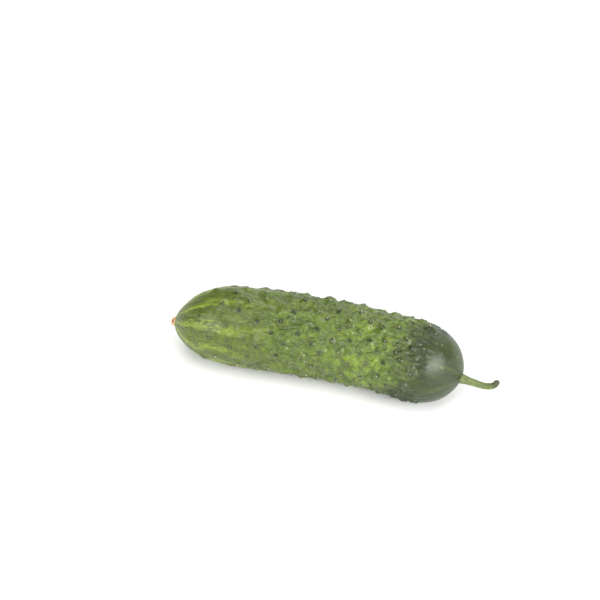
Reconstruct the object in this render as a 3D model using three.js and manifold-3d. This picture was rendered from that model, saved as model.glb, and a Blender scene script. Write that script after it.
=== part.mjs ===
// A short, prickly field cucumber as picked, with its cut stem and the scar of its flower.
// Millimetres, Z up. X runs along the fruit, from the blossom end (-X) to the stem end (+X).
// The fruit lies on its side, so that it bows in the horizontal plane, hollow side towards -Y.
// The origin is under the middle of the whole object, on the surface that it rests on.

import * as THREE from 'three';
import { mergeVertices } from 'three/addons/utils/BufferGeometryUtils.js';
import Module from 'manifold-3d';

// The fruit's length from pole to pole, and its radius where it is widest.
const FRUIT_LENGTH = 135;
const FRUIT_RADIUS = 18;

// The blossom end narrows to a blunt point, and the stem end closes in a full dome.
const TIP_TAPER = 33.5;
const TIP_POWER = 2.7;
const TIP_FULLNESS = 0.68;
const DOME_TAPER = 35.5;
const DOME_POWER = 4.8;
const DOME_FULLNESS = 0.7;

// The girth swells a little behind the tip and draws in before the dome.
// Each place and reach is a share of the length, each amount a share of the radius.
const SWELL = { amount: 0.02, place: 0.33, reach: 0.13 };
const WAIST = { amount: -0.03, place: 0.68, reach: 0.1 };

// The axis turns by this slope, in plan, between this place and the stem end.
const BOW_SLOPE = 0.325;
const BOW_START = -13;

// How far the two poles lie off the section's middle: the tip sags, the dome leans back and down.
const TIP_SAG = 2.5;
const DOME_LEAN_BACK = 3.2;
const DOME_SAG = 2.5;

// The belly is pressed flat by this much where the fruit lies.
const BELLY_FLAT = 0.45;

// Shallow lobes round the section: three seed chambers and ten faint furrows.
const CHAMBERS = 3;
const CHAMBER_DEPTH = 0.16;
const FURROWS = 10;
const FURROW_DEPTH = 0.1;

// Warts stand on a spiral, closer together and taller towards the stem end.
const WART_COUNT = 210;
const WART_FIRST = 0.07;
const WART_LAST = 0.88;
const WART_CROWDING = 0.72;
const WART_JITTER = 2.4;
const WART_HEIGHT = 0.75;
const WART_REACH = 3.1;

// The mesh of the fruit.
const FRUIT_RINGS = 80;
const FRUIT_SIDES = 52;
const POLE_CROWDING = 0.3;

// The stem: its radii, its ribs and its root beside the pole of the dome. It leaves the dome drooping
// and turns upwards by the hook's angle, most of it just before its cut end.
const STEM_LENGTH = 17.8;
const STEM_BURIED = 2.5;
const STEM_ROOT_RADIUS = 2.2;
const STEM_RADIUS = 1.62;
const STEM_TIP_RADIUS = 1.27;
const STEM_FLARE = 2.2;
const STEM_RIBS = 5;
const STEM_RIB_DEPTH = 0.1;
const STEM_RINGS = 30;
const STEM_SIDES = 20;
const STEM_ROOT = new THREE.Vector3(0, 0.8, -1.5);
const STEM_DROOP = THREE.MathUtils.degToRad(10);
const STEM_HOOK = THREE.MathUtils.degToRad(100);
const STEM_HOOK_POWER = 4;

// The scar: a corky ring with a dimple, tilted upwards and to the hollow side.
const SCAR_RADIUS = 2.05;
const SCAR_HEIGHT = 1.05;
const SCAR_ROOT_DEPTH = 2.2;
const SCAR_DIMPLE = 0.6;
const SCAR_SIDES = 28;
const SCAR_FACING = new THREE.Vector3(-0.8, -0.44, 0.4).normalize();
const SCAR_OFFSET = new THREE.Vector3(0.1, -0.3, 0.3);

// Neighbours stay this far apart.
const GAP = 0.3;

const GOLDEN_ANGLE = Math.PI * (3 - Math.sqrt(5));
const UP = new THREE.Vector3(0, 0, 1);

const skin = new THREE.MeshStandardMaterial({ color: 0x4c7a30, roughness: 0.5, metalness: 0 });
const stemGreen = new THREE.MeshStandardMaterial({ color: 0x9cb364, roughness: 0.65, metalness: 0 });
const cork = new THREE.MeshStandardMaterial({ color: 0xdcae7c, roughness: 0.85, metalness: 0 });

// A repeatable number from -0.5 to 0.5 for each item and salt.
function scatter(item, salt) {
  const wave = Math.sin(item * 12.9898 + salt * 78.233) * 43758.5453;
  return wave - Math.floor(wave) - 0.5;
}

function hump(share, { amount, place, reach }) {
  return amount * Math.exp(-(((share - place) / reach) ** 2));
}

// Radius of the fruit's barrel, without the two ends.
function girth(share) {
  return FRUIT_RADIUS * (1 + hump(share, SWELL) + hump(share, WAIST));
}

// How far into the tip and into the dome a place lies: 0 at their start, 1 at the pole.
function intoTip(share) {
  return THREE.MathUtils.clamp(1 - (share * FRUIT_LENGTH) / TIP_TAPER, 0, 1);
}

function intoDome(share) {
  return THREE.MathUtils.clamp(1 - ((1 - share) * FRUIT_LENGTH) / DOME_TAPER, 0, 1);
}

function fruitRadius(share) {
  const tip = (1 - intoTip(share) ** TIP_POWER) ** TIP_FULLNESS;
  const dome = (1 - intoDome(share) ** DOME_POWER) ** DOME_FULLNESS;
  return girth(share) * tip * dome;
}

// The part of the bow's turn that is done at x, and the sideways run that this turn has made.
function turnDone(x) {
  const reach = FRUIT_LENGTH / 2 - BOW_START;
  const t = THREE.MathUtils.clamp((x - BOW_START) / reach, 0, 1);
  return { turn: 3 * t ** 2 - 2 * t ** 3, run: reach * (t ** 3 - t ** 4 / 2) };
}

// The axis of the fruit at a share of its length: its middle, and the level direction across it.
const FIRST_SLOPE = (BOW_SLOPE * turnDone(FRUIT_LENGTH / 2).run) / FRUIT_LENGTH;

function fruitAxis(share) {
  const x = (share - 0.5) * FRUIT_LENGTH;
  const { turn, run } = turnDone(x);
  const lean = intoDome(share) ** 3;
  const y = FIRST_SLOPE * (x + FRUIT_LENGTH / 2) - BOW_SLOPE * run + DOME_LEAN_BACK * lean;
  const z = girth(share) - BELLY_FLAT - TIP_SAG * intoTip(share) ** 2 - DOME_SAG * lean;
  const slope = FIRST_SLOPE - BOW_SLOPE * turn;
  const across = new THREE.Vector3(slope, -1, 0).normalize();
  return { middle: new THREE.Vector3(x, y, z), across };
}

// Each wart: its place along and round the fruit, its height and how far its foot reaches.
function makeWarts() {
  const warts = [];
  for (let i = 0; i < WART_COUNT; i += 1) {
    const along = ((i + 0.5) / WART_COUNT) ** WART_CROWDING;
    const share = WART_FIRST + (WART_LAST - WART_FIRST) * along;
    const angle = i * GOLDEN_ANGLE + (scatter(i, 1) * WART_JITTER) / fruitRadius(share);
    warts.push({
      share: share + (scatter(i, 2) * WART_JITTER) / FRUIT_LENGTH,
      angle: angle % (2 * Math.PI),
      height: WART_HEIGHT * (0.45 + 0.55 * along) * (1 + 0.6 * scatter(i, 3)),
      reach: WART_REACH * (1 + 0.4 * scatter(i, 4)),
    });
  }
  return warts;
}

const WARTS = makeWarts();

// Height of the skin's relief above the plain round section.
function relief(share, angle) {
  const radius = fruitRadius(share);
  const body = Math.min(1, radius / girth(share)) ** 2;
  let height = CHAMBER_DEPTH * Math.cos(CHAMBERS * angle) * body;
  height += FURROW_DEPTH * Math.cos(FURROWS * angle) * body;
  for (const wart of WARTS) {
    const along = (share - wart.share) * FRUIT_LENGTH;
    const turn = Math.atan2(Math.sin(angle - wart.angle), Math.cos(angle - wart.angle));
    const near = 1 - (along ** 2 + (turn * radius) ** 2) / wart.reach ** 2;
    if (near > 0) {
      height += wart.height * near ** 2;
    }
  }
  return height;
}

// Merges a lathe's seam and poles, so that it is one closed mesh.
function closed(geometry) {
  geometry.deleteAttribute('normal');
  geometry.deleteAttribute('uv');
  return mergeVertices(geometry, 1e-5);
}

// Moves every vertex of a lathe, whose axis is Y, to where place(x, y, z) puts it.
function reshape(geometry, place) {
  const position = geometry.getAttribute('position');
  for (let i = 0; i < position.count; i += 1) {
    const moved = place(position.getX(i), position.getY(i), position.getZ(i));
    position.setXYZ(i, moved.x, moved.y, moved.z);
  }
  return geometry;
}

// The fruit, or with grow the fruit with a skin that much thicker, used to cut its neighbours.
function fruitGeometry(grow = 0) {
  const profile = [];
  for (let ring = 0; ring <= FRUIT_RINGS; ring += 1) {
    const u = ring / FRUIT_RINGS;
    const share = u - (POLE_CROWDING * Math.sin(2 * Math.PI * u)) / (2 * Math.PI);
    const atPole = ring === 0 || ring === FRUIT_RINGS;
    profile.push(new THREE.Vector2(atPole ? 0 : 1, share));
  }
  const stretch = 1 + (2 * grow) / FRUIT_LENGTH;
  return reshape(closed(new THREE.LatheGeometry(profile, FRUIT_SIDES)), (x, share, z) => {
    const { middle, across } = fruitAxis(share);
    const onAxis = Math.hypot(x, z) < 0.5;
    const angle = Math.atan2(z, x);
    const radius = onAxis ? 0 : fruitRadius(share) + relief(share, angle) + grow;
    const point = middle.clone().setX(middle.x * stretch);
    point.addScaledVector(across, radius * Math.cos(angle));
    point.addScaledVector(UP, radius * Math.sin(angle));
    point.z = Math.max(point.z, -grow);
    return point;
  });
}

// The direction of the stem at a distance out from its root, in the upright plane along X.
function stemAlong(out) {
  const hooked = Math.max(0, out / STEM_LENGTH) ** STEM_HOOK_POWER;
  const pitch = STEM_HOOK * hooked - STEM_DROOP;
  return new THREE.Vector3(Math.cos(pitch), 0, Math.sin(pitch));
}

// The stem's rings, from inside the dome to the cut: how far out each is, its middle and its direction.
function stemRings() {
  const step = (STEM_LENGTH + STEM_BURIED) / STEM_RINGS;
  const middle = fruitAxis(1).middle.add(STEM_ROOT);
  middle.addScaledVector(stemAlong(0), -STEM_BURIED);
  const rings = [];
  for (let ring = 0; ring <= STEM_RINGS; ring += 1) {
    const out = ring * step - STEM_BURIED;
    rings.push({ out, middle: middle.clone(), along: stemAlong(out) });
    middle.addScaledVector(stemAlong(out + step / 2), step);
  }
  return rings;
}

// The stem: wide at its root, five-ribbed, tapering, and cut off square with a rounded edge.
function stemGeometry() {
  const rings = stemRings();
  const profile = [new THREE.Vector2(0, 0)];
  rings.forEach(({ out }, ring) => {
    const slender = THREE.MathUtils.lerp(STEM_RADIUS, STEM_TIP_RADIUS, Math.max(0, out) / STEM_LENGTH);
    const flare = (STEM_ROOT_RADIUS - STEM_RADIUS) * Math.exp(-Math.max(0, out) / STEM_FLARE);
    profile.push(new THREE.Vector2(slender + flare, ring));
  });
  profile.push(new THREE.Vector2(STEM_TIP_RADIUS * 0.75, STEM_RINGS + 0.3));
  profile.push(new THREE.Vector2(0, STEM_RINGS + 0.35));
  return reshape(closed(new THREE.LatheGeometry(profile, STEM_SIDES)), (x, ring, z) => {
    const { middle, along } = rings[Math.min(Math.round(ring), STEM_RINGS)];
    const rib = 1 + STEM_RIB_DEPTH * Math.cos(STEM_RIBS * Math.atan2(z, x));
    const above = new THREE.Vector3(-along.z, 0, along.x);
    const point = middle.clone().addScaledVector(above, z * rib);
    point.y -= x * rib;
    return point.addScaledVector(along, Math.max(0, ring - STEM_RINGS));
  });
}

// The scar: a short stub with a rounded rim and a dimple, its root inside the fruit's tip.
function scarGeometry() {
  const rim = SCAR_RADIUS * 0.82;
  const profile = [
    new THREE.Vector2(0, -SCAR_ROOT_DEPTH),
    new THREE.Vector2(SCAR_RADIUS, -SCAR_ROOT_DEPTH),
    new THREE.Vector2(SCAR_RADIUS, SCAR_HEIGHT * 0.35),
    new THREE.Vector2(SCAR_RADIUS * 0.97, SCAR_HEIGHT * 0.75),
    new THREE.Vector2(rim, SCAR_HEIGHT),
    new THREE.Vector2(rim * 0.7, SCAR_HEIGHT - SCAR_DIMPLE * 0.15),
    new THREE.Vector2(rim * 0.35, SCAR_HEIGHT - SCAR_DIMPLE * 0.9),
    new THREE.Vector2(0, SCAR_HEIGHT - SCAR_DIMPLE),
  ];
  const turn = new THREE.Quaternion().setFromUnitVectors(new THREE.Vector3(0, 1, 0), SCAR_FACING);
  const centre = fruitAxis(0).middle.add(SCAR_OFFSET);
  return reshape(closed(new THREE.LatheGeometry(profile, SCAR_SIDES)), (x, y, z) =>
    new THREE.Vector3(x, y, z).applyQuaternion(turn).add(centre),
  );
}

const wasm = await Module();
wasm.setup();

function solid(geometry) {
  return new wasm.Manifold(
    new wasm.Mesh({
      numProp: 3,
      vertProperties: geometry.getAttribute('position').array,
      triVerts: new Uint32Array(geometry.index.array),
    }),
  );
}

// A neighbour of the fruit, cut back to a clear gap from its skin.
function fitted(geometry, clearance) {
  const mesh = solid(geometry).subtract(clearance).getMesh();
  const cut = new THREE.BufferGeometry();
  cut.setAttribute('position', new THREE.BufferAttribute(mesh.vertProperties, 3));
  cut.setIndex(new THREE.BufferAttribute(mesh.triVerts, 1));
  return cut;
}

function named(name, geometry, material) {
  geometry.computeVertexNormals();
  const mesh = new THREE.Mesh(geometry, material);
  mesh.name = name;
  return mesh;
}

const clearance = solid(fruitGeometry(GAP));
const cucumber = new THREE.Group();
cucumber.add(
  named('fruit', fruitGeometry(), skin),
  named('stem', fitted(stemGeometry(), clearance), stemGreen),
  named('blossom_scar', fitted(scarGeometry(), clearance), cork),
);

// The middle of the whole object comes over the origin.
const middle = new THREE.Box3().setFromObject(cucumber).getCenter(new THREE.Vector3());
cucumber.position.set(-middle.x, -middle.y, 0);

export default cucumber;
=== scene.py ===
"""A short, prickly field cucumber as picked: the fine skin, spines, stem and flower scar.

Z up, X along the fruit from its blossom end to its stem end, hollow side of its bow towards -Y.
The fruit's own rule is written in millimetres, with x from its middle, and put in place in metres.
"""

import math
from types import SimpleNamespace

import bpy
import numpy as np
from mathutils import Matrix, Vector


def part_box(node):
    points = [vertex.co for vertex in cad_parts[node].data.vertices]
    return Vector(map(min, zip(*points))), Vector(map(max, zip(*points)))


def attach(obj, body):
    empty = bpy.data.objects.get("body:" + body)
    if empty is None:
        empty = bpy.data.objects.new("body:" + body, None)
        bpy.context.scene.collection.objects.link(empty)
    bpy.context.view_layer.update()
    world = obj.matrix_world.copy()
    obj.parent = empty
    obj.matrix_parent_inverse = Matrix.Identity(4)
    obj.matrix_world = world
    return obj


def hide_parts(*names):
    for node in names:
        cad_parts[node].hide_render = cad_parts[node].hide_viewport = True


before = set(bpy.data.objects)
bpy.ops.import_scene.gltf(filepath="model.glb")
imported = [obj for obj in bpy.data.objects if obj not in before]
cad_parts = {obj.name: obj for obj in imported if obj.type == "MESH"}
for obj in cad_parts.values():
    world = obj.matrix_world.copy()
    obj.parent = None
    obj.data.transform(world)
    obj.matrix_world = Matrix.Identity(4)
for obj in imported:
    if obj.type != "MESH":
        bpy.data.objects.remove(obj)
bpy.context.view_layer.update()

MM = 0.001

# ---------------------------------------------------------------- sizes, in millimetres

FRUIT_LENGTH = 135
FRUIT_RADIUS = 18
TIP = {"taper": 33.5, "power": 2.7, "fullness": 0.68}
DOME = {"taper": 35.5, "power": 4.8, "fullness": 0.7}
SWELL = {"amount": 0.02, "place": 0.33, "reach": 0.13}
WAIST = {"amount": -0.03, "place": 0.68, "reach": 0.1}
BOW_SLOPE = 0.325
BOW_START = -13
TIP_SAG = 2.5
DOME_LEAN_BACK = 3.2
DOME_SAG = 2.5
BELLY_FLAT = 0.45

WART_COUNT = 210
WART_FIRST = 0.07
WART_LAST = 0.88
WART_CROWDING = 0.72
WART_JITTER = 2.4
WART_HEIGHT = 0.75
WART_REACH = 3.6
GOLDEN_ANGLE = math.pi * (3 - math.sqrt(5))
SPINES_RUBBED_OFF_BELOW = 1.2
SPINES_LOST_ABOVE = 0.18
SPINE_ROOT_DEPTH = 0.12

STEM_LENGTH = 17.8
STEM_BURIED = 2.5
STEM_RADIUS = 1.62
STEM_TIP_RADIUS = 1.27
STEM_ROOT_RADIUS = 2.2
STEM_FLARE = 2.2
STEM_ROOT = (0, 0.8, -1.5)
STEM_DROOP = math.radians(10)
STEM_HOOK = math.radians(100)
STEM_HOOK_POWER = 4
CUT_RINGS = 13
CUT_EDGE_SHRINK = 0.28
CUT_EDGE_RISE = 0.38
CUT_FACE_SINK = 0.22

SCAR_RADIUS = 2.05
SCAR_HEIGHT = 1.05
SCAR_ROOT_DEPTH = 2.2
SCAR_DIMPLE = 0.6
SCAR_RIM_SHARE = 0.82
SCAR_FACING = (-0.8, -0.44, 0.4)
SCAR_OFFSET = (0.1, -0.3, 0.3)

# Fineness of the finished meshes.
FRUIT_RINGS, FRUIT_SIDES = 370, 256
STEM_RINGS, STEM_SIDES = 120, 60
SCAR_RINGS, SCAR_SIDES = 48, 72
POLE_CROWDING = 0.3

# Where the skin changes along the fruit, in millimetres from its middle: each pair holds the place
# where the change starts and the place where it is complete.
LOBED_FROM_TIP = (-67, -48)
LOBED_FROM_DOME = (66, 50)
WRINKLED_FROM_TIP = (-50, -4)
WRINKLED_FROM_DOME = (60, 46)
MARKED_FROM_TIP = (-48, -15)
MARKED_FROM_DOME = (58, 46)
STREAKED_TO_TIP = (-12, -56)
DARK_TO_DOME = (34, 54)

LOBE_COUNT = 3
FURROW_COUNT = 10
RAY_COUNT = 7


# ---------------------------------------------------------------- the fruit's rule

def scatter(item, salt):
    """A repeatable number from -0.5 to 0.5 for each item and salt."""
    wave = np.sin(item * 12.9898 + salt * 78.233) * 43758.5453
    return wave - np.floor(wave) - 0.5


def hump(share, amount, place, reach):
    """A round swelling, or a waist where its amount is negative."""
    return amount * np.exp(-(((share - place) / reach) ** 2))


def girth(share):
    """Radius of the fruit's barrel, without the two ends."""
    return FRUIT_RADIUS * (1 + hump(share, **SWELL) + hump(share, **WAIST))


def into_tip(share):
    """How far into the blossom end's taper a share of the length is: 1 at its pole."""
    return np.clip(1 - share * FRUIT_LENGTH / TIP["taper"], 0, 1)


def into_dome(share):
    """How far into the stem end's dome a share of the length is: 1 at its pole."""
    return np.clip(1 - (1 - share) * FRUIT_LENGTH / DOME["taper"], 0, 1)


def fruit_radius(share):
    """Radius of the fruit's section at each share of its length."""
    tip = (1 - into_tip(share) ** TIP["power"]) ** TIP["fullness"]
    dome = (1 - into_dome(share) ** DOME["power"]) ** DOME["fullness"]
    return girth(share) * tip * dome


def turn_done(x):
    """The part of the bow's turn that is done at x, and the sideways run that it has made."""
    reach = FRUIT_LENGTH / 2 - BOW_START
    t = np.clip((x - BOW_START) / reach, 0, 1)
    return 3 * t**2 - 2 * t**3, reach * (t**3 - t**4 / 2)


def fruit_axis(share):
    """The middle of the fruit's section at each share of its length, and the level way across."""
    x = (share - 0.5) * FRUIT_LENGTH
    turn, run = turn_done(x)
    first_slope = BOW_SLOPE * turn_done(FRUIT_LENGTH / 2)[1] / FRUIT_LENGTH
    lean = into_dome(share) ** 3
    y = first_slope * (x + FRUIT_LENGTH / 2) - BOW_SLOPE * run + DOME_LEAN_BACK * lean
    z = girth(share) - BELLY_FLAT - TIP_SAG * into_tip(share) ** 2 - DOME_SAG * lean
    slope = first_slope - BOW_SLOPE * turn
    across = np.stack([slope, -np.ones_like(x), np.zeros_like(x)], 1)
    across /= np.linalg.norm(across, axis=1, keepdims=True)
    return np.stack([x, y, z], 1), across


def skin_points(share, angle):
    """Points on the plain skin, before its lobes and warts."""
    middle, across = fruit_axis(share)
    radius = fruit_radius(share)[:, None]
    up = np.array([[0, 0, 1]])
    return middle + radius * (across * np.cos(angle)[:, None] + up * np.sin(angle)[:, None])


def wart_places():
    """Each wart's share along the fruit, its angle round it and its height."""
    item = np.arange(WART_COUNT)
    along = ((item + 0.5) / WART_COUNT) ** WART_CROWDING
    share = WART_FIRST + (WART_LAST - WART_FIRST) * along
    angle = item * GOLDEN_ANGLE + scatter(item, 1) * WART_JITTER / fruit_radius(share)
    share = share + scatter(item, 2) * WART_JITTER / FRUIT_LENGTH
    height = WART_HEIGHT * (0.45 + 0.55 * along) * (1 + 0.6 * scatter(item, 3))
    return share, angle, height


# The fruit's rule is laid on its CAD solid by the pole of its blossom end, where its section is
# a point.
fruit_low, fruit_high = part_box("fruit")
fruit_corners = [vertex.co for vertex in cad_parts["fruit"].data.vertices]
blossom_pole = min(fruit_corners, key=lambda at: at.x)
UNIT = (fruit_high.x - fruit_low.x) / FRUIT_LENGTH
SHIFT = np.array([fruit_low.x + UNIT * FRUIT_LENGTH / 2, blossom_pole.y, 0])


def in_place(points):
    """Millimetres of the fruit's rule as metres in the part's own frame."""
    return np.asarray(points, float) * UNIT + SHIFT


# ---------------------------------------------------------------- node trees

class Flow:
    """A number, vector or colour in a node tree. Arithmetic on it adds the nodes for it."""

    def __init__(self, tree, socket):
        self.tree = tree
        self.socket = socket

    def other(self, name):
        """Another output of the node that this one comes from."""
        return Flow(self.tree, self.socket.node.outputs[name])

    def maths(self, operation, *others):
        feeds = dict(enumerate((self,) + others))
        return node(self.tree, "ShaderNodeMath", feeds, operation=operation)

    def vector(self, operation, other=None, out="Vector"):
        feeds = {0: self} if other is None else {0: self, 1: other}
        return node(self.tree, "ShaderNodeVectorMath", feeds, out, operation=operation)

    def __add__(self, other):
        return self.maths("ADD", other)

    def __sub__(self, other):
        return self.maths("SUBTRACT", other)

    def __rsub__(self, other):
        return node(self.tree, "ShaderNodeMath", {0: other, 1: self}, operation="SUBTRACT")

    def __mul__(self, other):
        return self.maths("MULTIPLY", other)

    def __truediv__(self, other):
        return self.maths("DIVIDE", other)

    def __pow__(self, other):
        return self.maths("POWER", other)

    __radd__ = __add__
    __rmul__ = __mul__

    def clamped(self):
        return node(self.tree, "ShaderNodeClamp", {0: self})

    def smooth(self, start, end, low=0.0, high=1.0):
        """Goes smoothly from low, at start, to high, at end."""
        feeds = {0: self, 1: start, 2: end, 3: low, 4: high}
        return node(self.tree, "ShaderNodeMapRange", feeds, interpolation_type="SMOOTHSTEP")

    def stretched(self, x, y, z):
        """A vector with each of its parts multiplied."""
        return self.vector("MULTIPLY", (x, y, z))

    def length(self):
        return self.vector("LENGTH", out="Value")

    def part(self, axis):
        return node(self.tree, "ShaderNodeSeparateXYZ", {0: self}, axis)

    def noise(self, scale, detail=2.0, roughness=0.5, distortion=0.0):
        """Cloudy noise from 0 to 1 over this vector."""
        feeds = {"Vector": self, "Scale": scale, "Detail": detail}
        feeds.update({"Roughness": roughness, "Distortion": distortion})
        return node(self.tree, "ShaderNodeTexNoise", feeds)

    def ridges(self, scale, detail=1.0, distortion=0.0):
        """Winding ridges with round crests, from 0 between them to 1 on their crests."""
        slope = (self.noise(scale, detail, distortion=distortion) - 0.5) * 6
        return (1 - slope * slope).clamped()


def feed(socket, value):
    """Gives an input its value: another node's output, or a constant."""
    if isinstance(value, Flow):
        value.tree.links.new(value.socket, socket)
    else:
        socket.default_value = value


def node(tree, kind, feeds=None, out=0, **settings):
    """Adds a node with its settings, feeds its inputs by name or number, and gives one output."""
    made = tree.nodes.new(kind)
    for name, value in settings.items():
        setattr(made, name, value)
    for name, value in (feeds or {}).items():
        feed(made.inputs[name], value)
    return Flow(tree, made.outputs[out])


def joined(tree, x, y, z):
    """A vector from its three parts."""
    return node(tree, "ShaderNodeCombineXYZ", {0: x, 1: y, 2: z})


def new_tree(name, sizes):
    """A geometry tree, its inputs by name, one for each size, and a call that ends it."""
    tree = bpy.data.node_groups.new(name, "GeometryNodeTree")
    tree.interface.new_socket("Geometry", in_out="INPUT", socket_type="NodeSocketGeometry")
    for label, kind in sizes.items():
        tree.interface.new_socket(label, in_out="INPUT", socket_type="NodeSocket" + kind)
    tree.interface.new_socket("Geometry", in_out="OUTPUT", socket_type="NodeSocketGeometry")
    start = tree.nodes.new("NodeGroupInput")
    end = tree.nodes.new("NodeGroupOutput")
    size = {socket.name: Flow(tree, socket) for socket in start.outputs if socket.name}
    return tree, size, lambda geometry: feed(end.inputs[0], geometry)


def finished(tree, geometry, material):
    """Ends a piece's tree: one plain mesh with its material."""
    real = node(tree, "GeometryNodeRealizeInstances", {0: geometry})
    return node(tree, "GeometryNodeSetMaterial", {"Geometry": real, "Material": material})


def named(tree, name, kind="FLOAT"):
    """A value that the mesh keeps, for a geometry tree."""
    return node(tree, "GeometryNodeInputNamedAttribute", {"Name": name}, data_type=kind)


def stored(tree, geometry, name, value, kind="FLOAT", domain="POINT"):
    """The geometry, keeping a value under a name."""
    feeds = {"Geometry": geometry, "Name": name, "Value": value}
    return node(tree, "GeometryNodeStoreNamedAttribute", feeds, data_type=kind, domain=domain)


def points_mesh(name, points, **facts):
    """A mesh of loose points with a named number or vector for each."""
    mesh = bpy.data.meshes.new(name)
    mesh.from_pydata(np.asarray(points, float).tolist(), [], [])
    for label, values in facts.items():
        values = np.asarray(values, np.float32)
        kind, field = ("FLOAT", "value") if values.ndim == 1 else ("FLOAT_VECTOR", "vector")
        mesh.attributes.new(label, kind, "POINT").data.foreach_set(field, values.ravel())
    return mesh


def made_by(name, tree, start, **sizes):
    """The plain mesh object that a tree makes from a mesh of points."""
    piece = bpy.data.objects.new(name, start)
    bpy.context.scene.collection.objects.link(piece)
    modifier = piece.modifiers.new(tree.name, "NODES")
    modifier.node_group = tree
    for item in tree.interface.items_tree:
        label = item.name.lower().replace(" ", "_")
        if item.in_out == "INPUT" and label in sizes:
            modifier[item.identifier] = sizes[label]
    graph = bpy.context.evaluated_depsgraph_get()
    mesh = bpy.data.meshes.new_from_object(
        piece.evaluated_get(graph), preserve_all_data_layers=True, depsgraph=graph
    )
    piece.modifiers.remove(modifier)
    piece.data = mesh
    mesh.name = name
    mesh.materials.pop(index=0)
    return piece


# ---------------------------------------------------------------- trees that make the pieces

def swept_rings_tree():
    """Lays a ring round each point of a path and skins them into one closed body.

    The path's points carry across, above, radius and distance. The skin keeps straight: its place
    in millimetres as if the body were a straight barrel of the given girth, for patterns and ribs.
    """
    sizes = {"Rings": "Int", "Sides": "Int", "Girth": "Float"}
    tree, size, end = new_tree("swept_rings", sizes)
    per_ring = size["Sides"] + 1
    counts = {"Size X": 1.0, "Size Y": 1.0, "Vertices X": size["Rings"], "Vertices Y": per_ring}
    grid = node(tree, "GeometryNodeMeshGrid", counts)
    index = node(tree, "GeometryNodeInputIndex")
    ring = ((index + 0.5) / per_ring).maths("FLOOR")
    angle = (index - ring * per_ring) / size["Sides"] * (2 * math.pi)
    cosine, sine = angle.maths("COSINE"), angle.maths("SINE")

    def at_ring(value, kind="FLOAT"):
        feeds = {"Geometry": size["Geometry"], "Value": value, "Index": ring}
        return node(tree, "GeometryNodeSampleIndex", feeds, data_type=kind)

    vector = "FLOAT_VECTOR"
    middle = at_ring(node(tree, "GeometryNodeInputPosition"), vector)
    across = at_ring(named(tree, "across", vector), vector)
    above = at_ring(named(tree, "above", vector), vector)
    radius = at_ring(named(tree, "radius"))
    distance = at_ring(named(tree, "distance"))
    girth_size = size["Girth"]
    straight = joined(tree, distance, girth_size * cosine, girth_size * sine)
    outward = scaled(across, cosine).vector("ADD", scaled(above, sine))
    place = middle.vector("ADD", scaled(outward, radius))

    body = stored(tree, grid, "OFBake", grid.other("UV Map"), "FLOAT2", "CORNER")
    body = stored(tree, body, "straight", straight, vector)
    body = node(tree, "GeometryNodeSetPosition", {"Geometry": body, "Position": place})
    body = node(tree, "GeometryNodeMergeByDistance", {"Geometry": body, "Distance": MM * 0.001})
    end(node(tree, "GeometryNodeSetShadeSmooth", {"Geometry": body, "Shade Smooth": True}))
    return tree


def scaled(value, amount):
    """A vector made longer or shorter, or a colour made lighter or darker."""
    feeds = {0: value, "Scale": amount}
    return node(value.tree, "ShaderNodeVectorMath", feeds, operation="SCALE")


def round_angle(straight):
    """The angle round a swept body, from its straight barrel."""
    return straight.part("Z").maths("ARCTAN2", straight.part("Y"))


def moved_out(tree, body, millimetres):
    """The body with its skin moved out along its own normals."""
    normal = node(tree, "GeometryNodeInputNormal")
    offset = scaled(normal, millimetres * MM)
    return node(tree, "GeometryNodeSetPosition", {"Geometry": body, "Offset": offset})


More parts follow.
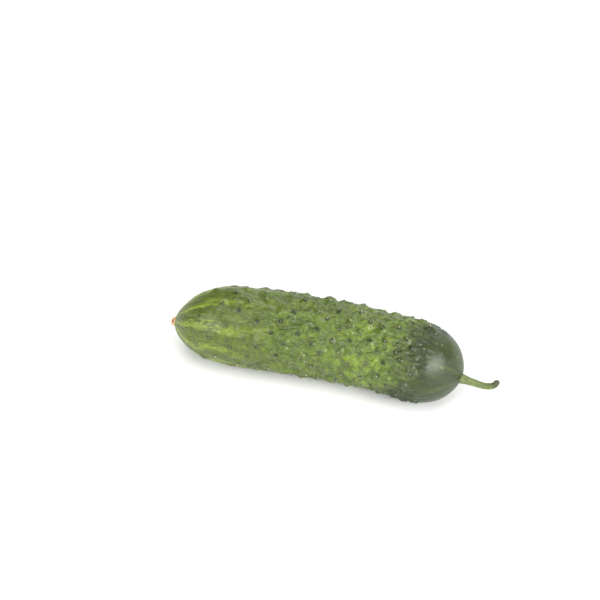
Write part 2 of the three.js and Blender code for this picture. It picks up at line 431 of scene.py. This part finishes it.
def warty_skin_tree(sweep):
    """The fruit's skin: lobes, furrows, warts with puckered feet, and creases between them.

    The skin keeps what its material follows: the way from the nearest wart and its distance, how
    near that wart's foot is, the wart's tone, and the place on the plain skin.
    """
    sizes = {
        "Warts": "Object",
        "Rings": "Int",
        "Sides": "Int",
        "Girth": "Float",
        "Lobe Depth": "Float",
        "Furrow Depth": "Float",
        "Wart Growth": "Float",
        "Pucker Depth": "Float",
        "Crease Depth": "Float",
        "Swell Depth": "Float",
        "Ripple Depth": "Float",
        "Fold Depth": "Float",
        "Material": "Material",
    }
    tree, size, end = new_tree("warty_skin", sizes)
    counts = {name: size[name] for name in ("Geometry", "Rings", "Sides", "Girth")}
    body = node(tree, "GeometryNodeGroup", counts, node_tree=sweep)

    warts = node(tree, "GeometryNodeObjectInfo", {"Object": size["Warts"]}, "Geometry")
    here = node(tree, "GeometryNodeInputPosition")
    nearest = node(tree, "GeometryNodeSampleNearest", {"Geometry": warts, "Sample Position": here})

    def of_wart(value, kind="FLOAT"):
        feeds = {"Geometry": warts, "Value": value, "Index": nearest}
        return node(tree, "GeometryNodeSampleIndex", feeds, data_type=kind)

    top = of_wart(node(tree, "GeometryNodeInputPosition"), "FLOAT_VECTOR")
    from_wart = scaled(here.vector("SUBTRACT", top), 1 / MM)
    away = from_wart.length()
    room = of_wart(named(tree, "room"))
    body = stored(tree, body, "from_wart", from_wart, "FLOAT_VECTOR")
    body = stored(tree, body, "wart_distance", away)
    body = stored(tree, body, "wart_foot", (away / room).smooth(1.0, 0.6))
    body = stored(tree, body, "wart_tone", of_wart(named(tree, "tone")))
    body = stored(tree, body, "plain", here, "FLOAT_VECTOR")

    straight = named(tree, "straight", "FLOAT_VECTOR")
    x = straight.part("X")
    angle = round_angle(straight)
    lobed = x.smooth(*LOBED_FROM_TIP) * x.smooth(*LOBED_FROM_DOME)
    barrel = x.smooth(*WRINKLED_FROM_TIP, 0.2, 1.0) * x.smooth(*WRINKLED_FROM_DOME)

    tall = of_wart(named(tree, "height")) * size["Wart Growth"]
    mound = (1 - (away / room) ** 2).clamped() ** 2
    nipple = (1 - away / (room * 0.4)).clamped() ** 1.5
    spokes = scaled(from_wart.vector("NORMALIZE"), 1.2).vector("ADD", scaled(straight, 0.12))
    foot = away.smooth(0.8, 2.2) * (away / room).smooth(1.0, 0.65)
    pucker = (spokes.noise(scale=1.9, detail=1.0) - 0.5) * foot
    swells = straight.noise(scale=0.21) - 0.5
    lengthwise = straight.stretched(0.5, 1, 1)
    crease = lengthwise.ridges(scale=0.17, detail=0.5, distortion=0.5) - 0.6
    ripples = lengthwise.noise(scale=0.30, detail=0.5, distortion=0.8) - 0.5
    folds = straight.stretched(0.30, 1, 1).ridges(scale=0.26, detail=0.5, distortion=0.9) - 0.6
    under = (angle + 0.75).maths("ABSOLUTE").smooth(1.0, 0.35, 0.25, 1.0)
    slack = barrel * (1 - mound * 0.8)

    relief = (angle * LOBE_COUNT).maths("COSINE") * size["Lobe Depth"] * lobed
    relief = relief + (angle * FURROW_COUNT).maths("COSINE") * size["Furrow Depth"] * lobed
    relief = relief + tall * (mound * 0.9 + nipple * 0.25)
    relief = relief + pucker * size["Pucker Depth"] * barrel
    relief = relief + swells * size["Swell Depth"] * barrel
    relief = relief + crease * size["Crease Depth"] * slack
    relief = relief + ripples * size["Ripple Depth"] * slack
    relief = relief + folds * size["Fold Depth"] * under * slack
    body = moved_out(tree, body, relief)

    # No skin reaches below the surface that the fruit lies on.
    settled = here.part("Z").maths("SMOOTH_MAX", 0.0, 0.15 * MM)
    flat = joined(tree, here.part("X"), here.part("Y"), settled)
    body = node(tree, "GeometryNodeSetPosition", {"Geometry": body, "Position": flat})
    end(finished(tree, body, size["Material"]))
    return tree


def spines_tree():
    """A short prickle on each point, leaning a little from the way that the point faces."""
    sizes = {
        "Length": "Float",
        "Thickness": "Float",
        "Lean": "Float",
        "Seed": "Int",
        "Material": "Material",
    }
    tree, size, end = new_tree("spines", sizes)
    blunt_tip, foot = 0.07 * MM, 0.5 * MM
    counts = {
        "Vertices": 7,
        "Side Segments": 4,
        "Radius Top": size["Thickness"] * blunt_tip,
        "Radius Bottom": size["Thickness"] * foot,
        "Depth": size["Length"] * MM,
    }
    prickle = node(tree, "GeometryNodeMeshCone", counts)
    height = node(tree, "GeometryNodeInputPosition").part("Z") / (size["Length"] * MM)
    prickle = stored(tree, prickle, "up_spine", height)
    prickle = node(tree, "GeometryNodeSetShadeSmooth", {"Geometry": prickle, "Shade Smooth": True})

    def lot(low, high, salt, kind="FLOAT", out=1):
        """A random number, or vector, between low and high for each prickle."""
        numbers = (2, 3) if kind == "FLOAT" else (0, 1)
        feeds = {numbers[0]: low, numbers[1]: high, "Seed": size["Seed"] + salt}
        return node(tree, "FunctionNodeRandomValue", feeds, out, data_type=kind)

    lean = scaled(lot((-1, -1, -1), (1, 1, 1), 1, "FLOAT_VECTOR", 0), size["Lean"])
    facing = named(tree, "facing", "FLOAT_VECTOR").vector("ADD", lean)
    turn = node(tree, "FunctionNodeAlignRotationToVector", {"Vector": facing}, axis="Z")
    big = named(tree, "size") * lot(0.75, 1.2, 2)
    feeds = {"Points": size["Geometry"], "Instance": prickle, "Rotation": turn, "Scale": big}
    spines = node(tree, "GeometryNodeInstanceOnPoints", feeds)
    end(finished(tree, spines, size["Material"]))
    return tree


def stalk_tree(sweep):
    """The stem: five ribs that twist a little, a hairy, finely grooved skin and a shrunken cut."""
    sizes = {
        "Rings": "Int",
        "Sides": "Int",
        "Girth": "Float",
        "Ribs": "Float",
        "Rib Depth": "Float",
        "Groove Depth": "Float",
        "Twist": "Float",
        "Material": "Material",
    }
    tree, size, end = new_tree("stalk", sizes)
    counts = {name: size[name] for name in ("Geometry", "Rings", "Sides", "Girth")}
    body = node(tree, "GeometryNodeGroup", counts, node_tree=sweep)
    straight = named(tree, "straight", "FLOAT_VECTOR")
    out = straight.part("X")
    turned = (round_angle(straight) + out * size["Twist"]) * size["Ribs"]
    rib = turned.maths("COSINE")
    at_ends = out.smooth(STEM_LENGTH + 0.1, STEM_LENGTH - 0.5)
    knots = straight.noise(scale=0.5) - 0.5
    grooves = straight.stretched(0.25, 1.6, 1.6).noise(scale=1.0) - 0.5
    relief = (rib * size["Rib Depth"] + grooves * size["Groove Depth"]) * at_ends + knots * 0.3
    body = moved_out(tree, body, relief)
    end(finished(tree, body, size["Material"]))
    return tree


def cork_tree(sweep):
    """The flower scar: a ring of cork with an uneven, cracked rim."""
    sizes = {
        "Rings": "Int",
        "Sides": "Int",
        "Girth": "Float",
        "Roughness Depth": "Float",
        "Crack Depth": "Float",
        "Material": "Material",
    }
    tree, size, end = new_tree("cork", sizes)
    counts = {name: size[name] for name in ("Geometry", "Rings", "Sides", "Girth")}
    body = node(tree, "GeometryNodeGroup", counts, node_tree=sweep)
    here = scaled(node(tree, "GeometryNodeInputPosition"), 1 / MM)
    straight = named(tree, "straight", "FLOAT_VECTOR")
    lumps = here.noise(scale=0.9, detail=3.0, roughness=0.6) - 0.5
    cracks = straight.stretched(0.3, 1, 1).ridges(scale=1.1) ** 4
    relief = lumps * size["Roughness Depth"] - cracks * size["Crack Depth"]
    body = moved_out(tree, body, relief)
    end(finished(tree, body, size["Material"]))
    return tree


# ---------------------------------------------------------------- materials

def new_material(name, **sockets):
    """A material with its even values on the shader's own sockets, and its tree and shader."""
    material = bpy.data.materials.new(name)
    material.use_nodes = True
    shader = material.node_tree.nodes["Principled BSDF"]
    for label, value in sockets.items():
        shader.inputs[label.replace("_", " ")].default_value = value
    return material, material.node_tree, shader


def attribute(tree, name, out="Vector"):
    """A value that the mesh keeps, for a material."""
    return node(tree, "ShaderNodeAttribute", out=out, attribute_name=name)


def blended(tree, amount, first, second):
    """The first colour with an amount of the second."""
    feeds = {0: amount, 6: colour(first), 7: colour(second)}
    return node(tree, "ShaderNodeMix", feeds, 2, data_type="RGBA", clamp_factor=True)


def colour(value):
    """A colour from another node as it is, or a constant one with its alpha."""
    return value if isinstance(value, Flow) else (*value, 1.0)


def bumped(tree, shader, millimetres):
    """Raises the shader's surface by a height in millimetres."""
    feeds = {"Strength": 1.0, "Distance": MM, "Height": millimetres}
    feed(shader.inputs["Normal"], node(tree, "ShaderNodeBump", feeds))


LEAF_GREEN = (0.066, 0.100, 0.017)
LIME_GREEN = (0.128, 0.188, 0.020)
PALE_LIME = (0.215, 0.290, 0.030)
# Pale grey-green of the underside: partly its ground spot, partly painted reflection of the white
# floor.
BELLY_AND_REFLECTION_GREEN = (0.150, 0.175, 0.075)
BOTTLE_GREEN = (0.014, 0.026, 0.007)
SPOT_GREEN = (0.004, 0.012, 0.006)
FLECK_CREAM = (0.36, 0.40, 0.22)
SPINE_BROWN = (0.30, 0.12, 0.025)
SPINE_CREAM = (0.85, 0.72, 0.42)
STALK_GREEN = (0.105, 0.138, 0.038)
STALK_PALE = (0.165, 0.200, 0.060)
STALK_CUT = (0.060, 0.070, 0.026)
CORK_TAN = (0.72, 0.42, 0.19)
CORK_PEACH = (0.88, 0.64, 0.38)
DIMPLE_BROWN = (0.30, 0.10, 0.02)


def skin_fields(tree):
    """What the skin's colours follow: the warts, the place along the fruit and the way round it."""
    straight = attribute(tree, "straight")
    wart_distance = attribute(tree, "wart_distance", "Fac")
    x = straight.part("X")
    wander = straight.noise(scale=0.09) - 0.5
    place = x + wander * 16
    # The dark stem-end green is the fruit's own; its reach up to 12 mm further towards the middle
    # on the lower side is painted shade.
    lower_side_shade = straight.part("Z").smooth(0, -14, 0, 12)
    return SimpleNamespace(
        straight=straight,
        x=x,
        angle=round_angle(straight),
        wander=wander,
        place=place,
        tipwards=place.smooth(*STREAKED_TO_TIP),
        # Dark towards the stem end; the extra reach on the lower side is painted shade.
        domewards=(place + lower_side_shade).smooth(*DARK_TO_DOME),
        barrel=place.smooth(*MARKED_FROM_TIP) * place.smooth(*MARKED_FROM_DOME),
        from_wart=attribute(tree, "from_wart"),
        wart_distance=wart_distance,
        uneven_distance=wart_distance + (straight.noise(scale=0.7, detail=1.0) - 0.5) * 1.6,
        wart_foot=attribute(tree, "wart_foot", "Fac"),
        tone=attribute(tree, "wart_tone", "Fac"),
        grain=straight.stretched(0.6, 1.2, 1.2).noise(scale=1.4, detail=3.0, roughness=0.6),
        broken=straight.stretched(0.14, 1.4, 1.4)
        .noise(scale=0.5, detail=3.0, roughness=0.65)
        .smooth(0.36, 0.56),
    )


def mottled_green(tree, skin):
    """Leaf green with lime patches in the valleys between the warts, and a paler belly that is
    partly the fruit's ground spot and partly painted reflection of the white floor.
    """
    clouds = skin.straight.stretched(0.6, 1, 1).noise(scale=0.24, detail=1.0, distortion=1.2)
    valley = skin.wart_distance.smooth(1.0, 3.2, 0.35, 1.0)
    lime = clouds.smooth(0.42, 0.66) * valley * skin.place.smooth(-10, 30, 0.55, 1.0)
    tint = blended(tree, lime, LEAF_GREEN, LIME_GREEN)
    tint = scaled(tint, skin.grain.smooth(0.25, 0.8, 0.62, 1.48))

    lighter_to_dome = skin.place.smooth(0, 26, 1.0, 1.22)
    darker_to_tip = skin.place.smooth(-14, -48, 1.0, 0.70)
    tint = scaled(tint, lighter_to_dome * darker_to_tip)

    # A paler underside: partly the fruit's own ground spot, partly painted reflection of the white
    # floor below it.
    blotches = skin.straight.noise(scale=0.5).smooth(0.35, 0.6, 0.5, 1.0)
    belly_and_reflection = skin.straight.part("Z").smooth(-9, -16) * blotches
    return blended(tree, belly_and_reflection * 0.5, tint, BELLY_AND_REFLECTION_GREEN)


def streaked_tip(tree, skin, tint):
    """Pale lime streaks and flecks that run together at the blossom end."""
    veins = (skin.angle * FURROW_COUNT + skin.wander * 7).maths("COSINE").smooth(0.45, 1.0)
    thin = skin.straight.stretched(0.07, 1.5, 1.5)
    threads = thin.noise(scale=1.0, detail=3.0, roughness=0.6).smooth(0.47, 0.62)
    short = skin.straight.stretched(0.45, 1.2, 1.2)
    dashes = short.noise(scale=1.5, roughness=0.6).smooth(0.44, 0.60)
    streaks = veins * skin.broken * 0.38
    streaks = streaks + threads * (veins * 0.4 + 0.25) + dashes * (veins * 0.5 + 0.2)
    streaks = streaks * skin.tipwards * skin.x.smooth(-48, -64, 1.0, 1.4)
    tint = blended(tree, streaks, tint, PALE_LIME)

    flecks = skin.straight.stretched(0.55, 1.3, 1.3).noise(scale=1.7).smooth(0.58, 0.70)
    amount = flecks * skin.tipwards.maths("MULTIPLY_ADD", 0.35, 0.06)
    return blended(tree, amount, tint, PALE_LIME)


def wart_rings(tree, skin, tint):
    """Broken lime rings round the feet of the warts."""
    away = skin.uneven_distance
    ring = away.smooth(1.0, 1.8) * away.smooth(3.6, 2.2) * skin.barrel
    breaks = skin.straight.noise(scale=0.5).smooth(0.45, 0.60)
    return blended(tree, ring * breaks * 0.4, tint, LIME_GREEN)


def dark_dome(tree, skin, tint):
    """The bottle green stem end, carried further along the lower side as painted shade, with faint
    rays and cream freckles, and the warts' dark tops.
    """
    bottle = even_colour(tree, BOTTLE_GREEN)
    bottle = scaled(bottle, skin.grain.smooth(0.2, 0.8, 0.75, 1.25))
    tint = blended(tree, skin.domewards * 0.9, tint, bottle)

    tops = skin.uneven_distance.smooth(1.5, 0.45) * skin.tone.smooth(0.0, 0.7, 0.2, 1.0)
    tint = blended(tree, tops * skin.place.smooth(-66, -30, 0.4, 0.8), tint, SPOT_GREEN)

    rays = (skin.angle * RAY_COUNT + skin.wander * 5).maths("COSINE").smooth(0.8, 1.0)
    rays = rays * skin.x.smooth(50, 60) * skin.broken
    tint = blended(tree, rays * 0.16, tint, LIME_GREEN)

    cells = {"Vector": skin.straight, "Scale": 0.30, "Randomness": 1.0}
    freckles = node(tree, "ShaderNodeTexVoronoi", cells).smooth(0.095, 0.055)
    return blended(tree, freckles * skin.domewards, tint, FLECK_CREAM)


def skin_height(skin):
    """The finest relief, in millimetres: puckers round the warts, wrinkles and pores."""
    ways_out = scaled(skin.from_wart.vector("NORMALIZE"), 2.4)
    spokes = ways_out.vector("ADD", scaled(skin.straight, 0.12))
    pucker = (spokes.noise(scale=1.2, detail=1.0) - 0.5) * skin.wart_foot
    pucker = pucker * skin.wart_distance.smooth(0.8, 2.0) * 0.25
    lengthwise = skin.straight.stretched(0.40, 1.1, 1.1)
    wrinkles = lengthwise.ridges(scale=0.36, detail=1.0, distortion=0.5) * 0.16
    pores = skin.straight.noise(scale=2.6) * 0.06
    return (pucker + wrinkles) * skin.barrel.maths("MULTIPLY_ADD", 0.88, 0.12) + pores


def skin_material():
    """Waxy skin: mottled green, dark at the stem end and, as painted shade, further along its lower
    side, streaked with lime at the blossom end.
    """
    material, tree, shader = new_material("waxy_skin", Specular_IOR_Level=0.47)
    skin = skin_fields(tree)
    tint = mottled_green(tree, skin)
    tint = streaked_tip(tree, skin, tint)
    tint = wart_rings(tree, skin, tint)
    tint = dark_dome(tree, skin, tint)
    feed(shader.inputs["Base Color"], tint)

    wax = skin.straight.noise(scale=0.8).smooth(0.2, 0.8, 0.19, 0.33)
    feed(shader.inputs["Roughness"], wax + skin.domewards * 0.09 + skin.tipwards * 0.12)
    bumped(tree, shader, skin_height(skin))
    return material


def even_colour(tree, value):
    """A constant colour that other nodes can work on."""
    made = tree.nodes.new("ShaderNodeRGB")
    made.outputs[0].default_value = (*value, 1.0)
    return Flow(tree, made.outputs[0])


def spine_material():
    """A dry prickle: brown at its foot, cream at its tip."""
    material, tree, shader = new_material("dry_spine", Roughness=0.6)
    up = attribute(tree, "up_spine", "Fac")
    tint = blended(tree, up.smooth(0.15, 0.40), SPINE_BROWN, SPINE_CREAM)
    feed(shader.inputs["Base Color"], tint)
    return material


def stalk_material():
    """A pale green stalk with finer, darker fibres, and darker at its cut."""
    material, tree, shader = new_material("pale_stalk", Roughness=0.6)
    straight = attribute(tree, "straight")
    out = straight.part("X")
    cloudy = straight.noise(scale=0.6, detail=3.0).smooth(0.3, 0.7)
    fibres = straight.stretched(0.2, 2.2, 2.2).noise(scale=1.2, detail=3.0, roughness=0.6)
    tint = blended(tree, cloudy, STALK_GREEN, STALK_PALE)
    tint = scaled(tint, fibres.smooth(0.25, 0.75, 0.72, 1.18))
    tint = blended(tree, out.smooth(13.6, 16.6) * 0.9, tint, STALK_CUT)
    feed(shader.inputs["Base Color"], tint)
    hairs = straight.stretched(0.8, 2.4, 2.4).noise(scale=1.9)
    bumped(tree, shader, fibres * 0.10 + hairs * 0.05)
    return material


def cork_material():
    """Dry peach cork with a brown dimple."""
    material, tree, shader = new_material("peach_cork", Roughness=0.85)
    straight = attribute(tree, "straight")
    out = straight.part("X")
    cloudy = straight.noise(scale=0.9, detail=3.0, roughness=0.6).smooth(0.3, 0.7)
    tint = blended(tree, cloudy, CORK_TAN, CORK_PEACH)
    tint = blended(tree, out.smooth(0.6, 1.4), tint, DIMPLE_BROWN)
    feed(shader.inputs["Base Color"], tint)
    bumped(tree, shader, straight.noise(scale=2.0, detail=3.0, roughness=0.6) * 0.2)
    return material


# ---------------------------------------------------------------- the pieces

def keep(piece, node_name):
    """Puts a finished piece in place of its CAD node."""
    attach(piece, "root")
    if node_name:
        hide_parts(node_name)


def make_skin(sweep):
    """The fruit, from the rings of its rule, and the points of its warts."""
    u = np.linspace(0, 1, FRUIT_RINGS)
    share = u - POLE_CROWDING * np.sin(2 * math.pi * u) / (2 * math.pi)
    middle, across = fruit_axis(share)
    path = points_mesh(
        "fruit_path",
        in_place(middle),
        across=across,
        above=np.tile([0, 0, 1], (FRUIT_RINGS, 1)),
        radius=fruit_radius(share) * UNIT,
        distance=middle[:, 0],
    )
    wart_share, wart_angle, height = wart_places()
    places = in_place(skin_points(wart_share, wart_angle))
    apart = np.linalg.norm(places[:, None] - places, axis=2) + np.eye(WART_COUNT)
    room = np.minimum(apart.min(1) / 2 / MM, WART_REACH)
    tone = scatter(np.arange(WART_COUNT), 7) + 0.5
    wart_points = points_mesh("warts", places, height=height, room=room, tone=tone)
    warts = bpy.data.objects.new("warts", wart_points)
    bpy.context.scene.collection.objects.link(warts)
    skin = made_by(
        "cucumber_skin",
        warty_skin_tree(sweep),
        path,
        warts=warts,
        rings=FRUIT_RINGS,
        sides=FRUIT_SIDES,
        girth=float(FRUIT_RADIUS),
        lobe_depth=0.16,
        furrow_depth=0.10,
        wart_growth=1.5,
        pucker_depth=1.9,
        crease_depth=0.6,
        swell_depth=2.5,
        ripple_depth=2.4,
        fold_depth=0.8,
        material=skin_material(),
    )
    bpy.data.objects.remove(warts)
    return skin, places


def numbers_of(mesh, name, width):
    """A mesh attribute as an array."""
    values = np.zeros(len(mesh.vertices) * width, np.float32)
    field = "vector" if width > 1 else "value"
    mesh.attributes[name].data.foreach_get(field, values)
    return values.reshape(-1, width)


def make_spines(skin, wart_points):
    """A prickle on the top of most warts."""
    plain = numbers_of(skin.data, "plain", 3)
    at = np.array([vertex.co for vertex in skin.data.vertices])
    facing = np.array([vertex.normal for vertex in skin.data.vertices])
    spots, sizes = [], []
    for item, point in enumerate(wart_points):
        top = int(np.argmin(((plain - point) ** 2).sum(1)))
        lost = scatter(item, 5) > SPINES_LOST_ABOVE
        rubbed_off = at[top][2] < SPINES_RUBBED_OFF_BELOW * MM
        if not lost and not rubbed_off:
            spots.append(top)
            sizes.append(0.85 + 0.5 * scatter(item, 6))
    outward = facing[spots]
    roots = at[spots] - outward * SPINE_ROOT_DEPTH * MM
    points = points_mesh("spine_points", roots, facing=outward, size=sizes)
    return made_by(
        "wart_spines",
        spines_tree(),
        points,
        length=0.85,
        thickness=0.47,
        lean=0.22,
        seed=7,
        material=spine_material(),
    )


def stem_heading(out):
    """The stem's pitch at each distance out from its root."""
    return STEM_HOOK * np.clip(out / STEM_LENGTH, 0, None) ** STEM_HOOK_POWER - STEM_DROOP


def make_stalk(sweep):
    """The cut stem, laid along its heading rule from inside the dome to its hooked end."""
    out = np.linspace(-STEM_BURIED, STEM_LENGTH, STEM_RINGS)
    step = out[1] - out[0]
    pitch = stem_heading(out + step / 2)
    steps = np.stack([np.cos(pitch), np.zeros_like(pitch), np.sin(pitch)], 1) * step
    root = fruit_axis(np.array([1.0]))[0][0] + STEM_ROOT
    start = root - np.array([math.cos(STEM_DROOP), 0, -math.sin(STEM_DROOP)]) * STEM_BURIED
    middle = start + np.concatenate([[[0, 0, 0]], np.cumsum(steps, 0)[:-1]])
    heading = stem_heading(out)
    above = np.stack([-np.sin(heading), np.zeros_like(heading), np.cos(heading)], 1)
    last_along = np.array([np.cos(heading[-1]), 0, np.sin(heading[-1])])
    slimming = (STEM_TIP_RADIUS - STEM_RADIUS) * np.clip(out, 0, None) / STEM_LENGTH
    flare = (STEM_ROOT_RADIUS - STEM_RADIUS) * np.exp(-np.clip(out, 0, None) / STEM_FLARE)
    radius = STEM_RADIUS + slimming + flare

    # The cut end: a rounded edge and a shrunken face, laid on past the last ring.
    edge = np.arange(1, CUT_RINGS + 1) / CUT_RINGS
    edge_radius = 1 - CUT_EDGE_SHRINK * edge**2.5
    face_radius = (1 - CUT_EDGE_SHRINK) * (1 - edge)
    edge_rise = CUT_EDGE_RISE * np.sin(edge * math.pi / 2)
    face_rise = CUT_EDGE_RISE - CUT_FACE_SINK * edge**0.7
    cut_radius = STEM_TIP_RADIUS * np.concatenate([edge_radius, face_radius])
    cut_rise = np.concatenate([edge_rise, face_rise])
    middle = np.concatenate([middle, middle[-1] + last_along * cut_rise[:, None]])
    above = np.concatenate([above, np.tile(above[-1], (len(cut_rise), 1))])
    radius = np.concatenate([[0], radius[1:], cut_radius])
    distance = np.concatenate([out, STEM_LENGTH + cut_rise])
    count = len(radius)
    path = points_mesh(
        "stem_path",
        in_place(middle),
        across=np.tile([0, -1, 0], (count, 1)),
        above=above,
        radius=radius * UNIT,
        distance=distance,
    )
    return made_by(
        "cut_stalk",
        stalk_tree(sweep),
        path,
        rings=count,
        sides=STEM_SIDES,
        girth=STEM_RADIUS,
        ribs=5.0,
        rib_depth=0.16,
        groove_depth=0.12,
        twist=0.035,
        material=stalk_material(),
    )


def make_flower_scar(sweep):
    """The cork ring, turned about its own axis, its root inside the fruit's tip."""
    facing = np.array(SCAR_FACING) / np.linalg.norm(SCAR_FACING)
    across = np.cross(facing, [0, 0, 1])
    across /= np.linalg.norm(across)
    above = np.cross(across, facing)
    rim = SCAR_RADIUS * SCAR_RIM_SHARE
    profile = np.array([
        (0, -SCAR_ROOT_DEPTH),
        (SCAR_RADIUS, -SCAR_ROOT_DEPTH),
        (SCAR_RADIUS, SCAR_HEIGHT * 0.35),
        (SCAR_RADIUS * 0.97, SCAR_HEIGHT * 0.75),
        (rim, SCAR_HEIGHT),
        (rim * 0.7, SCAR_HEIGHT - SCAR_DIMPLE * 0.15),
        (rim * 0.35, SCAR_HEIGHT - SCAR_DIMPLE * 0.9),
        (0, SCAR_HEIGHT - SCAR_DIMPLE),
    ])
    edges = np.linalg.norm(np.diff(profile, axis=0), axis=1)
    run = np.concatenate([[0], np.cumsum(edges)])
    at = np.linspace(0, run[-1], SCAR_RINGS)
    radius = np.interp(at, run, profile[:, 0])
    rise = np.interp(at, run, profile[:, 1])
    middle = fruit_axis(np.array([0.0]))[0][0] + SCAR_OFFSET + facing * rise[:, None]
    path = points_mesh(
        "scar_path",
        in_place(middle),
        across=np.tile(across, (SCAR_RINGS, 1)),
        above=np.tile(above, (SCAR_RINGS, 1)),
        radius=radius * UNIT,
        distance=at - run[3],
    )
    return made_by(
        "flower_scar",
        cork_tree(sweep),
        path,
        rings=SCAR_RINGS,
        sides=SCAR_SIDES,
        girth=SCAR_RADIUS,
        roughness_depth=0.5,
        crack_depth=0.18,
        material=cork_material(),
    )


rings_tree = swept_rings_tree()
skin_piece, wart_tops = make_skin(rings_tree)
spines_piece = make_spines(skin_piece, wart_tops)
stalk_piece = make_stalk(rings_tree)
scar_piece = make_flower_scar(rings_tree)
keep(skin_piece, "fruit")
keep(spines_piece, None)
keep(stalk_piece, "stem")
keep(scar_piece, "blossom_scar")


# ---------------------------------------------------------------- floor, light and camera

FLOOR_REACH = 1.3


def make_floor():
    """A plain white table under the fruit."""
    mesh = bpy.data.meshes.new("floor")
    far = FLOOR_REACH
    corners = [(-far, -far, 0), (far, -far, 0), (far, far, 0), (-far, far, 0)]
    mesh.from_pydata(corners, [], [(0, 1, 2, 3)])
    floor = bpy.data.objects.new("floor", mesh)
    material, tree, shader = new_material("white_table", Roughness=0.7)
    here = node(tree, "ShaderNodeTexCoord", out="Object")
    white = blended(tree, here.noise(scale=3.0), (0.90, 0.90, 0.90), (0.92, 0.92, 0.92))
    feed(shader.inputs["Base Color"], white)
    mesh.materials.append(material)
    bpy.context.scene.collection.objects.link(floor)


def softbox(name, place, target, width, height, power):
    """A large, soft light at a place, turned to its target."""
    lamp = bpy.data.lights.new(name, "AREA")
    lamp.shape = "RECTANGLE"
    lamp.size, lamp.size_y = width, height
    lamp.energy = power
    holder = bpy.data.objects.new(name, lamp)
    holder.location = place
    holder.rotation_euler = (Vector(target) - Vector(place)).to_track_quat("-Z", "Y").to_euler()
    bpy.context.scene.collection.objects.link(holder)


VIEW_AZIMUTH = math.radians(17.9)
VIEW_ELEVATION = math.radians(40)
VIEW_DISTANCE = 0.85
LENS = 113.1
AIM_RIGHT, AIM_UP = -6.6 * MM, 20.8 * MM


def make_camera():
    """The camera, in front of the fruit and above it, aimed a little past its middle."""
    sine, cosine = math.sin(VIEW_AZIMUTH), math.cos(VIEW_AZIMUTH)
    low, high = math.cos(VIEW_ELEVATION), math.sin(VIEW_ELEVATION)
    right = Vector((cosine, sine, 0))
    up = Vector((-high * sine, high * cosine, low))
    towards = Vector((low * sine, -low * cosine, high))
    middle = Vector(in_place([0, 0, FRUIT_RADIUS]))
    aim = middle + AIM_RIGHT * right + AIM_UP * up
    lens = bpy.data.cameras.new("camera")
    lens.lens = LENS
    lens.clip_start = 0.01
    camera = bpy.data.objects.new("camera", lens)
    camera.location = aim + towards * VIEW_DISTANCE
    camera.rotation_euler = (-towards).to_track_quat("-Z", "Y").to_euler()
    bpy.context.scene.collection.objects.link(camera)
    bpy.context.scene.camera = camera


def light_room(overhead, horizon):
    """A plain room: white round the horizon and greyer overhead."""
    world = bpy.data.worlds.new("white_room")
    world.use_nodes = True
    tree = world.node_tree
    background = tree.nodes["Background"]
    background.inputs["Color"].default_value = (1, 1, 1, 1)
    height = node(tree, "ShaderNodeTexCoord", out="Generated").part("Z")
    feed(background.inputs["Strength"], height.smooth(0.02, 0.22, horizon, overhead))
    bpy.context.scene.world = world


make_floor()
make_camera()
light_room(overhead=0.15, horizon=1.1)
softbox("right_box", (0.86, -0.40, 0.45), (0.02, 0, 0.02), width=0.8, height=0.7, power=15)
softbox("back_box", (0.2, 0.9, 0.75), (0, 0, 0.02), width=1.6, height=0.8, power=9)
softbox("front_left_box", (-0.75, -0.9, 0.7), (0, 0, 0.02), width=1.3, height=0.7, power=13)
softbox("top_box", (-0.1, -0.25, 1.2), (0, 0, 0), width=1.0, height=0.8, power=6)
bpy.context.scene.view_settings.view_transform = "Standard"
